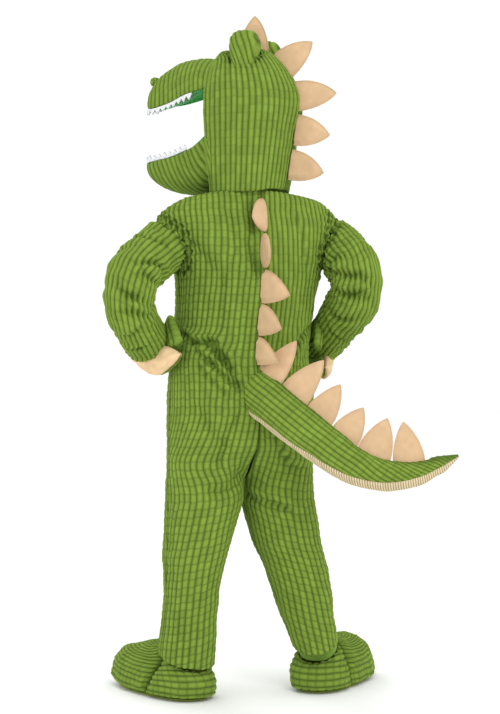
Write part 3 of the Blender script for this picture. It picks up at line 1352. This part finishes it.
def add_spine_spikes():
    for i, (bottom, top, reach, lean, droop, bend, puff) in enumerate(SPINE_SPIKES, 1):
        ends = []
        for height in (bottom, top):
            body = body_at(height)
            ends.append(points(body["x"], body["y"] + body["half_depth"], height))
        outward = np.array([-math.sin(math.radians(lean)), math.cos(math.radians(lean)), 0])
        tip = (ends[0] + ends[1]) / 2 + outward * reach
        tip[2] -= droop
        add_spike(f"spine_spike_{i}", *ends, tip, bend, puff=puff)


def add_tail_spikes():
    for i, (start, end, reach, lean, bend) in enumerate(TAIL_SPIKES, 1):
        top = np.array(0.0)
        low, high = tail_point(np.array(start), top), tail_point(np.array(end), top)
        middle = np.array((start + end) / 2)
        tip = tail_point(middle, top, lift=reach) - tail_station(middle)["tangent"] * lean
        if i == 1:
            low, tip = low + ROOT_SPIKE["low"], tip + ROOT_SPIKE["tip"]
        add_spike(f"tail_spike_{i}", low, high, tip, bend, sunk=TAIL_SPIKES_SUNK)


def add_hood_spikes():
    for i, (*corners, bend, sunk) in enumerate(HOOD_SPIKES, 1):
        corners = (head_point(ahead, 0, height) for ahead, height in zip(corners[::2], corners[1::2]))
        add_spike(f"hood_spike_{i}", *corners, bend, HOOD_SPIKE_ROUNDNESS, sunk=sunk)


# ---------------------------------------------------------------- hood and jaws


def ahead_and_left(degrees):
    """The ways ahead and to the wearer's left, for something turned from the garment's front."""
    turn = math.radians(degrees)
    return np.array([math.sin(turn), -math.cos(turn), 0]), np.array([math.cos(turn), math.sin(turn), 0])


HEAD_FORWARD, HEAD_LEFT = ahead_and_left(HEAD_TURN)
# The width that decides how many columns a side has, and the one that its ribs are counted over.
HOOD_BACK_ARC, HOOD_RIB_ARC = 250, 176
# The padding in front of each eye lobe: it starts above a height and has a place on the head.
BROW = {"forward": 30, "long": 14, "side": 33, "wide": 17, "rise": 8, "above": 1035}
# The dark cloth on the right side of the hood's spikes, which ends below the top.
HOOD_SHADE = {"dark": 0.62, "reach": 0.11, "top": 1030}
hood_at = read_table(HOOD_FIELDS, HOOD)


def head_point(ahead, aside, height):
    ahead, aside, height = np.broadcast_arrays(ahead, aside, height)
    flat = points(HEAD_CENTRE[0], HEAD_CENTRE[1], height)
    return flat + ahead[..., None] * HEAD_FORWARD + aside[..., None] * HEAD_LEFT


def from_head(place):
    """How far places are ahead of the head's centre and to its left."""
    from_centre = place - head_point(0, 0, 0)
    return np.dot(from_centre, HEAD_FORWARD), np.dot(from_centre, HEAD_LEFT)


def hood_point(side, height, share):
    ring = hood_at(height)
    front_reach = ring["front"] - ring["middle"]
    edge = np.clip((FACE_EDGE - ring["middle"]) / front_reach, 0, 1)
    cut = np.arccos(-(edge ** (HOOD_SQUARENESS / 2)))
    angle = share * cut
    reach = np.where(angle < np.pi / 2, ring["middle"] - ring["back"], front_reach)
    aside, back = oval(angle, ring["half_width"], reach, HOOD_SQUARENESS)
    return head_point(ring["middle"] - back, SIDES[side] * aside, height)


def brow_rise(place):
    """A soft lump on the hood in front of each eye lobe."""
    forward, aside = from_head(place)
    lump = bell(forward - BROW["forward"], BROW["long"])
    lump = lump * bell(np.abs(aside) - BROW["side"], BROW["wide"])
    return BROW["rise"] * lump * smooth_step((place[..., 2] - BROW["above"]) / 15)


def on_hood(place):
    """Moves places to the hood's surface, straight out or in from the middle of the hood."""
    centre = head_point(0, 0, HOOD_AXIS_HEIGHT)

    def outside(tried):
        ring = hood_at(tried[..., 2])
        forward, aside = from_head(tried)
        ahead = forward - ring["middle"]
        reach = np.where(ahead > 0, ring["front"] - ring["middle"], ring["middle"] - ring["back"])
        aside = np.abs(aside) / np.maximum(ring["half_width"], 1)
        size = (np.abs(ahead) / np.maximum(reach, 1)) ** HOOD_SQUARENESS + aside ** HOOD_SQUARENESS
        return (size > 1) | (tried[..., 2] > HOOD[-1][0])

    near, far = np.full(place.shape[:-1], 0.5), np.full(place.shape[:-1], 1.5)
    for _ in range(18):
        middle = (near + far) / 2
        out = outside(centre + middle[..., None] * (place - centre))
        near, far = np.where(out, near, middle), np.where(out, middle, far)
    return centre + near[..., None] * (place - centre)


def add_hood_side(side):
    t = np.linspace(0, 1, 900)
    levels = mix(HOOD[0][0], HOOD[-1][0], np.sin(t * np.pi / 2) ** 0.9)
    far = lengths(hood_point(side, levels, np.full(900, 0.45)), 0)
    rows, columns = blocks(far[-1], STEP_ALONG) + 1, blocks(HOOD_BACK_ARC, STEP_ACROSS) + 1
    height = np.interp(np.linspace(0, far[-1], rows), far, levels)[:, None]
    dense = hood_point(side, np.repeat(height, DENSE, 1), np.linspace(0, 1, DENSE)[None] + 0 * height)
    base = resample_rows(dense, columns)
    share = np.linspace(0, 1, columns)[None] + 0 * height
    u, v = SIDES[side] * share * HOOD_RIB_ARC, lengths(base, 0)
    axis = head_point(hood_at(height)["middle"], 0, np.minimum(height, HOOD_AXIS_HEIGHT))
    normal = unit(base - axis)
    # Round the eye lobe: the brow's padding, a groove, and dark dots at the gathered seam.
    lobe = head_point(EYE["forward"] - 6, SIDES[side] * (EYE["side"] + 6), EYE["height"] - 8)
    gap = np.linalg.norm((base - lobe) / [1, 1, 1.1], axis=-1) - EYE["wide"]
    near = bell(np.maximum(gap, 0), 11)
    push = 1.3 * noise(base, (36, 36, 80), 71) + 0.7 * noise(base, 18, 72)
    push += brow_rise(base) - 2.2 * bell(gap, 3.5)
    dots = bell(gap - 3, 2.4) * np.abs(np.cos(np.pi * u / CELL[0])) ** 3
    # The right side is flatter behind, the front keeps behind the lower jaw and the upper back is full.
    push -= (3.5 if side == "right" else 0) * bell(share - 0.2, 0.16)
    behind_jaw = 1.5 * smooth_step((975 - base[..., 2]) / 40) + 4 * smooth_step((916 - base[..., 2]) / 16)
    push -= behind_jaw * smooth_step((from_head(base)[0] - 36) / 9)
    upper_back = bell(share, 0.22) * bell(base[..., 2] - 985, 42)
    push += 5.0 * upper_back
    base = base + normal * push[..., None]
    # The hood's lower edge hangs lower towards the front.
    base[..., 2] -= mix(4, 10, smooth_step((share - 0.2) / 0.3)) * smooth_step((905 - height) / 62)
    crushed = 0
    if side == "right":
        crushed = HOOD_SHADE["dark"] * bell(share, HOOD_SHADE["reach"])
        crushed = crushed * smooth_step((HOOD_SHADE["top"] - base[..., 2]) / 50)
    cloth(f"hood_{side}", base, partial(waffle, rows=0.22, seed=73, shade=0.92), u, v, axis=axis,
          edges=("seam", "none", "hem", "none"), pinch=near, dots=dots, crushed=crushed)


def jaw_outside(section, share, squareness=JAW_SQUARENESS):
    angle = (share - 0.5) * np.pi
    aside, rise = oval(angle, section["half_width"], 1, squareness)
    return head_point(section["forward"], aside, mix(section["lip"], section["outside"], rise))


def jaw_inside(section, share, inset):
    to_lip = np.sign(section["lip"] - section["outside"])
    half = np.maximum(1, section["half_width"] - LIP - inset)
    aside, rise = oval((share - 0.5) * np.pi, half, 1, JAW_SQUARENESS)
    height = mix(section["lip"], section["inside"], rise) + to_lip * inset
    return head_point(section["forward"], aside, height)


# The widths that decide how many columns a jaw and its lining have.
JAW_WIDTH, LINING_WIDTH = 215, 190
# The lower jaw's ribs lean back towards the lip.
JAW_LEAN = 0.45
# The hood leans a little, which holds the upper lip higher on the wearer's right.
FAR_LIP = {"rise": 17, "from": 160, "to": 188}
# The strip along the top of the upper jaw, as shares of the way across.
GUSSET = {"from": 0.36, "to": 0.64, "seam": 2.2}


def tilt_far_lip(place, forward):
    lift = FAR_LIP["rise"] * smooth_step((FAR_LIP["to"] - forward) / (FAR_LIP["to"] - FAR_LIP["from"]))
    aside = from_head(place)[1]
    low = smooth_step((1045 - place[..., 2]) / 45)
    place = place.copy()
    place[..., 2] += lift * smooth_step(-aside / 45) * low
    return place


def add_jaw(name, table):
    is_upper = name == "upper_jaw"
    at = read_table(JAW_FIELDS, [UPPER_JAW_START] + table if is_upper else table)
    rows = blocks(table[-1][0] - JAW_OVERLAP, 1.9) + 1
    columns = blocks(JAW_WIDTH, 2.0) + 1
    t = np.linspace(0, 1, rows)
    forward = mix(JAW_OVERLAP, table[-1][0], 1 - (1 - t) ** 1.25)[:, None]
    start = smooth_step((forward - JAW_OVERLAP) / 50)
    squareness = mix(2.1, JAW_SQUARENESS, start) if is_upper else JAW_SQUARENESS
    section = at(np.maximum(forward, JAW_OVERLAP if is_upper else FACE_EDGE))
    section["forward"] = forward
    dense = jaw_outside(section, np.linspace(0, 1, DENSE)[None] + 0 * forward, squareness)
    base = resample_rows(dense, columns)
    share = np.linspace(0, 1, columns)[None] + 0 * forward
    axis = head_point(section["forward"], 0, mix(section["lip"], section["outside"], 0.3))
    normal = unit(base - axis)
    u, v = lengths(base, 0), lengths(base, 1)
    push = 1.2 * noise(base, 30, 81) + 0.8 * noise(base, 14, 82)
    push = push * smooth_step((forward - JAW_OVERLAP) / 14)
    # Where it overlaps the hood, the jaw hugs it and rises from just under its surface.
    snug = on_hood(base)
    lap = mix(-0.4, 1.4, smooth_step((forward - JAW_OVERLAP) / 7))[..., None]
    hugging = smooth_step((60 - forward) / 22)[..., None] * smooth_step((snug[..., 2:] - 848) / 14)
    base = mix(base, snug + lap * unit(snug - head_point(0, 0, HOOD_AXIS_HEIGHT)), hugging)
    sink = np.zeros_like(u)
    if is_upper:
        push = push + brow_rise(base)
        gusset = (share > GUSSET["from"]) & (share < GUSSET["to"])
        for line in (GUSSET["from"], GUSSET["to"]):
            sink = sink + GUSSET["seam"] * bell((share - line) * v[:, -1:], 2.2)

        def weave(a, b):
            side = waffle(a, b, rows=0.2, seed=83, shade=0.88)
            top = waffle(b - 0.5 * b[:, -1:], a, depth=2.3, rows=0.4, seed=84, shade=0.88)
            return tuple(np.where(gusset, y, x) for x, y in zip(side, top))
    else:
        def weave(a, b):
            from_lip = np.minimum(b, b[:, -1:] - b)
            return waffle(a + JAW_LEAN * from_lip, b, rows=0.2, seed=85, shade=0.86)
    base = base + normal * push[..., None]
    # The mouth's inside, and a thin wall where the jaw lies on the hood.
    k = BLOCK
    coarse_share = share[::k, ::k]
    inside = jaw_inside(at(np.maximum(forward[::k], FACE_EDGE) + 0 * coarse_share), coarse_share, 0)
    if is_upper:
        base, inside = tilt_far_lip(base, forward), tilt_far_lip(inside, forward[::k])
    valley = bell(forward - FACE_EDGE - 4, 9) + 0 * share
    sink = sink + (0 if is_upper else 3.4) * valley
    lapped = forward[::k, 0] < FACE_EDGE
    under = base[::k, ::k][lapped]
    inside[lapped] = under - 2.2 * unit(under - axis[::k][lapped])
    cloth(name, base, weave, u, v, axis=axis, edges=("hem", "hem", "none", "none"), inside=inside,
          sink=sink, pinch=0 if is_upper else 0.5 * valley)


def add_jaw_lining(name, table):
    at = read_table(JAW_FIELDS, table)
    rows, columns = blocks(table[-2][0] - FACE_EDGE, 3) + 1, blocks(LINING_WIDTH, 3) + 1
    forward = np.linspace(table[0][0], table[-2][0], rows)[:, None]
    share = np.linspace(0, 1, columns)[None] + 0 * forward
    section = at(forward + 0 * share)
    base, outside = jaw_inside(section, share, 2.3), jaw_outside(section, share)
    inwards = unit(outside.mean(1, keepdims=True) - base)
    puckers = np.sin(lengths(base, 1) / 9) * bell(share - 0.5, 0.4)
    base = base + inwards * (0.8 * noise(base, 26, 91) + 0.5 * puckers)[..., None]
    if name == "upper_jaw_lining":
        base, outside = tilt_far_lip(base, forward), tilt_far_lip(outside, forward)
    cloth(name, base, smooth_cloth, slot="lining_green", thickness=2.0, axis=outside, edges=("none",) * 4)


TOOTH = {"gap": 1.2, "band": 4, "length": 8, "width": 11.5, "thickness": 2}
# On the wearer's right, the far side in the photo, the upper teeth show this share of their length
# and sit this much higher.
FAR_TEETH = {"long": 0.35, "lift": 5.5}
# How far ahead each strip starts.
TEETH_FROM = {"upper_teeth": 74, "lower_teeth": 84}


def add_teeth(name, table):
    """A felt strip along the lip, from one mouth corner round the snout to the other."""
    at = read_table(JAW_FIELDS, table)
    t = np.linspace(0, 1, 600)
    ahead = mix(TEETH_FROM[name], table[-1][0], 1 - (2 * t - 1) ** 2)
    section = at(ahead)
    aside = np.sign(t - 0.5) * np.maximum(0, section["half_width"] - LIP / 2)
    lip = head_point(ahead, aside, section["lip"])
    far = lengths(lip, 0)
    count = 2 * round(far[-1] / TOOTH["width"])
    columns = count * BLOCK + 1
    even = np.linspace(0, far[-1], columns)
    line = read_along(even, far, lip)
    if name == "upper_teeth":
        line = tilt_far_lip(line, from_head(line)[0])
    tangent = unit(np.gradient(line, axis=0))
    outward = unit(np.stack([-tangent[:, 1], tangent[:, 0], 0 * even], 1))
    place = np.linspace(0, count, columns)
    wave = 1 - np.abs(place % 2 - 1)
    long = TOOTH["length"] * (0.85 + 0.3 * chance(np.floor(place / 2), 5, 0, 7))
    if name == "upper_teeth":
        near_side = smooth_step((place / count - 0.30) / 0.22)
        long = long * mix(FAR_TEETH["long"], 1, near_side)
        line[:, 2] += FAR_TEETH["lift"] * (1 - near_side)
    drop = np.linspace(0, 1, BLOCK * 2 + 1)[:, None]
    drop = drop * (TOOTH["band"] - TOOTH["gap"] + long * wave ** 0.9)[None] + TOOTH["gap"]
    lean = 1.2 * noise(points(place, 0, 0), 1.7, 92)[None] * (drop / 14) ** 2
    base = line[None] + outward[None] * lean[..., None]
    to_mouth = np.sign(table[0][3] - table[0][2])
    base = base + np.array([0, 0, to_mouth]) * drop[..., None]
    base = base + outward[None] * TOOTH["thickness"] / 2
    cloth(name, base, smooth_cloth, slot="felt_white", thickness=TOOTH["thickness"],
          axis=base - outward[None], edges=("none",) * 4)


# ---------------------------------------------------------------- eyes and nostrils

# How much the lobes' half heights differ from the part's source.
LOBE_TALLER = {"left": 1, "right": -3}


def egg(centre, long, wide, tall, rows, columns, squareness=2.0):
    polar = (np.linspace(2, 178, rows) * np.pi / 180)[:, None]
    turn = full_turn(columns)
    power = 2 / squareness
    ring, rise = power_of(np.sin(polar), power), -power_of(np.cos(polar), power)
    ahead, aside = oval(turn, wide, long, squareness)
    return (centre + (ring * aside)[..., None] * HEAD_FORWARD + (ring * ahead)[..., None] * HEAD_LEFT
            + (tall * rise + 0 * turn)[..., None] * np.array([0, 0, 1]))


def add_eyes(side):
    sign = SIDES[side]

    def centre(part):
        return head_point(part["forward"], sign * part["side"], part["height"])

    base = egg(centre(EYE), EYE["long"], EYE["wide"], EYE["tall"] + LOBE_TALLER[side], 60, 88,
               squareness=2.6)
    ahead, aside = (np.dot(base - centre(EYE), way) for way in (HEAD_FORWARD, HEAD_LEFT))
    rise = base[..., 2] - EYE["height"]
    u, v = ahead * 0.94 - rise * 0.34, rise * 0.94 + ahead * 0.34 + 0.5 * aside
    # The lobe is fuller behind, and its lower part is longer, narrower and further out and back.
    base = base - HEAD_FORWARD * (3.5 * smooth_step((4 - ahead) / 14))[..., None]
    base = base + unit(base - centre(EYE)) * (0.9 * noise(base, 12, 101))[..., None]
    below = np.maximum(0, EYE["height"] + 8 - base[..., 2])
    base[..., 2] -= 0.35 * below
    level = centre(EYE) * [1, 1, 0] + base * [0, 0, 1]
    base = level + (base - level) * mix(1, 0.78, smooth_step(below / 30))[..., None]
    base = base + HEAD_LEFT * (sign * 0.42 * below)[..., None] - HEAD_FORWARD * (2 + 0.18 * below)[..., None]
    stuffed(f"eye_lobe_{side}", base, partial(waffle, cell=(8.5, 13), rows=0.15, seed=102), u, v)
    for part, name, slot, grow in ((EYE_WHITE, "eye_white", "felt_white", 0),
                                   (EYE_PUPIL, "eye_pupil", "pupil_black", 0.6)):
        base = egg(centre(part) - 5 * HEAD_FORWARD, part["long"] + grow, part["wide"], part["tall"], 28, 40)
        stuffed(f"{name}_{side}", base, smooth_cloth, base[..., 0], base[..., 2], slot)
    base = egg(centre(NOSTRIL), NOSTRIL["radius"], NOSTRIL["radius"], NOSTRIL["radius"], 32, 44)
    stuffed(f"nostril_{side}", base, partial(waffle, cell=(7, 7), depth=1.5, seed=103),
            base[..., 0] * 1.2, base[..., 2])


# ---------------------------------------------------------------- shoe covers

shoe_at = read_table(SHOE_FIELDS, SHOE)
SHOE_CELL = (10, 13)
# How much further forward the seam between heel and toe is at the sole.
SEAM_LEAN = {"left": 28, "right": 8}
# The widths that decide how many columns the pieces have, and how much the cloth of each bulges.
HEEL = {"width": 190, "lumps": 2.0, "bulge": 8.5}
TOE = {"width": 380, "lumps": 4.5, "bulge": 1.5}
BAND_FROM, BAND_TO, BAND_INSET = -3, 17, 3
# Rings of the sole from its underside to its top: how far in from the shoe's outline, and height.
SOLE_RINGS = ((44, 0), (30, 0), (10, 0), (8, 0), (6.6, 0.6), (6, 2), (6.2, 3.4), (8, 4), (12, 4),
              (30, 4), (44, 4))


def shoe_point(side, ring, angle, inset=0, lift=0, level=None):
    foot, section = FEET[side], dict(shoe_at(ring))
    ahead_way, aside_way = ahead_and_left(foot["toe_out"])
    if level is not None:
        section["heel_height"] = section["toe_height"] = np.asarray(level, float) + 0 * section["heel"]
    middle = (section["heel"] + section["toe"]) / 2
    half = (section["toe"] - section["heel"]) / 2
    aside, back = oval(angle, section["half_width"] - inset, half - inset, SHOE_SQUARENESS)
    share = (half - back) / (2 * half)
    ahead = middle - back
    spring = np.maximum(0, (ahead - TOE_SPRING["from"]) / (TOE_SPRING["to"] - TOE_SPRING["from"]))
    height = mix(section["heel_height"], section["toe_height"], share) + lift
    height = height + TOE_SPRING["rise"] * spring ** 2
    flat = points(foot["heel"][0], foot["heel"][1], height)
    return flat + ahead[..., None] * ahead_way + aside[..., None] * aside_way


def add_shoe(side):
    for name, part, back in (("shoe_heel", HEEL, 0.0), ("shoe_toe", TOE, np.pi)):
        is_heel = part is HEEL
        dense_ring = np.linspace(0, 6, 400)
        steps = [np.linalg.norm(np.diff(shoe_point(side, dense_ring, np.full(400, angle)), axis=0), axis=1)
                 for angle in (back, np.pi / 2)]
        far = np.insert(np.cumsum(0.5 * (steps[0] + steps[1])), 0, 0)
        rows, columns = blocks(far[-1], 2.0) + 1, blocks(part["width"], STEP_ACROSS) + 1
        ring = np.interp(np.linspace(0, far[-1], rows), far, dense_ring)[:, None]
        section = shoe_at(ring)
        middle, half = (section["heel"] + section["toe"]) / 2, (section["toe"] - section["heel"]) / 2
        seam = mix(HEEL_PIECE + SEAM_LEAN[side], HEEL_PIECE - 6, smooth_step(ring / 5))
        cut = np.arccos(np.clip(power_of((middle - seam) / half, SHOE_SQUARENESS / 2), -1, 1))
        turn = np.linspace(-1, 1, DENSE)[None]
        angle = turn * cut if is_heel else np.pi + turn * (np.pi - cut)
        base = resample_rows(shoe_point(side, ring + 0 * angle, angle), columns)
        across, along = lengths(base, 1), lengths(base, 0)
        if is_heel:
            axis = base.mean(1, keepdims=True) * 0.5 + 0.5 * base.mean((0, 1))
        else:
            axis = mix(shoe_point(side, ring, 0 * ring), base.mean(1, keepdims=True), 0.55)
        axis[..., 2] = 20 if is_heel else 12
        normal, _ = surface_normals(base, axis=axis)
        bottom = smooth_step(along / 8)
        edge = np.minimum(across, across[:, -1:] - across)
        top = along[-1:] - along
        # Stuffed cloth: lumps, a bulge half way up, grooves at the sole and seams, gathers at the top.
        push = bottom * (part["lumps"] * noise(base, (26, 26, 30), 111) + 1.4 * noise(base, 13, 112))
        push = push * smooth_step(edge / 16)
        bulge = part["bulge"] * bell(along - 0.45 * along[-1:], 0.36 * along[-1:])
        push += bulge * smooth_step(edge / 24)
        push += 3.0 * bell(along - 7, 7) - 3.0 * bell(top, 6)
        push -= 5.5 * bottom * bell(edge, 7)
        push += 1.2 * bell(top, 9) * np.sin(across * 2 * np.pi / 11 + 2 * noise(base, 20, 115))
        cloth(f"{name}_{side}", base + normal * push[..., None],
              partial(waffle, cell=SHOE_CELL, depth=2.8, seed=113, shade=0.9), along,
              across - 0.5 * across[:, -1:], thickness=3.6, axis=axis,
              edges=("seam", "seam", "seam", "hem"))
    rows, columns = blocks(BAND_TO - BAND_FROM, 1.2) + 1, blocks(150, 1.8)
    lift = np.linspace(BAND_FROM, BAND_TO, rows)[:, None]
    base = shoe_point(side, np.full((rows, columns), 6.0), full_turn(columns) + 0 * lift,
                      inset=BAND_INSET, lift=lift + np.zeros((1, columns)))
    roll = 1.2 * np.sin(np.linspace(0, np.pi, rows))[:, None] + 0.6 * noise(base, 12, 114)
    base = base + unit(base - base.mean(1, keepdims=True)) * roll[..., None]
    cloth(f"shoe_band_{side}", base, smooth_cloth, slot="band_green", wrap=True,
          edges=("none", "none", "none", "hem"))
    angle = full_turn(160)
    base = np.concatenate([shoe_point(side, 0 * angle, angle, inset=inset, level=level)
                           for inset, level in SOLE_RINGS])
    stuffed(f"shoe_sole_{side}", base, lambda a, b: plain(0 * a, 0.8, 0.5), slot="sole_green")


# ---------------------------------------------------------------- putting it together

for side in SIDES:
    for face in (1, -1):
        add_jumpsuit_panel(side, face)
    add_sleeve(side)
    add_mitt(side)
    add_hood_side(side)
    add_eyes(side)
    add_shoe(side)
add_placket()
add_tail()
add_spine_spikes()
add_tail_spikes()
add_hood_spikes()
for add_part, kind in ((add_jaw, "jaw"), (add_jaw_lining, "jaw_lining"), (add_teeth, "teeth")):
    add_part(f"upper_{kind}", UPPER_JAW)
    add_part(f"lower_{kind}", LOWER_JAW)
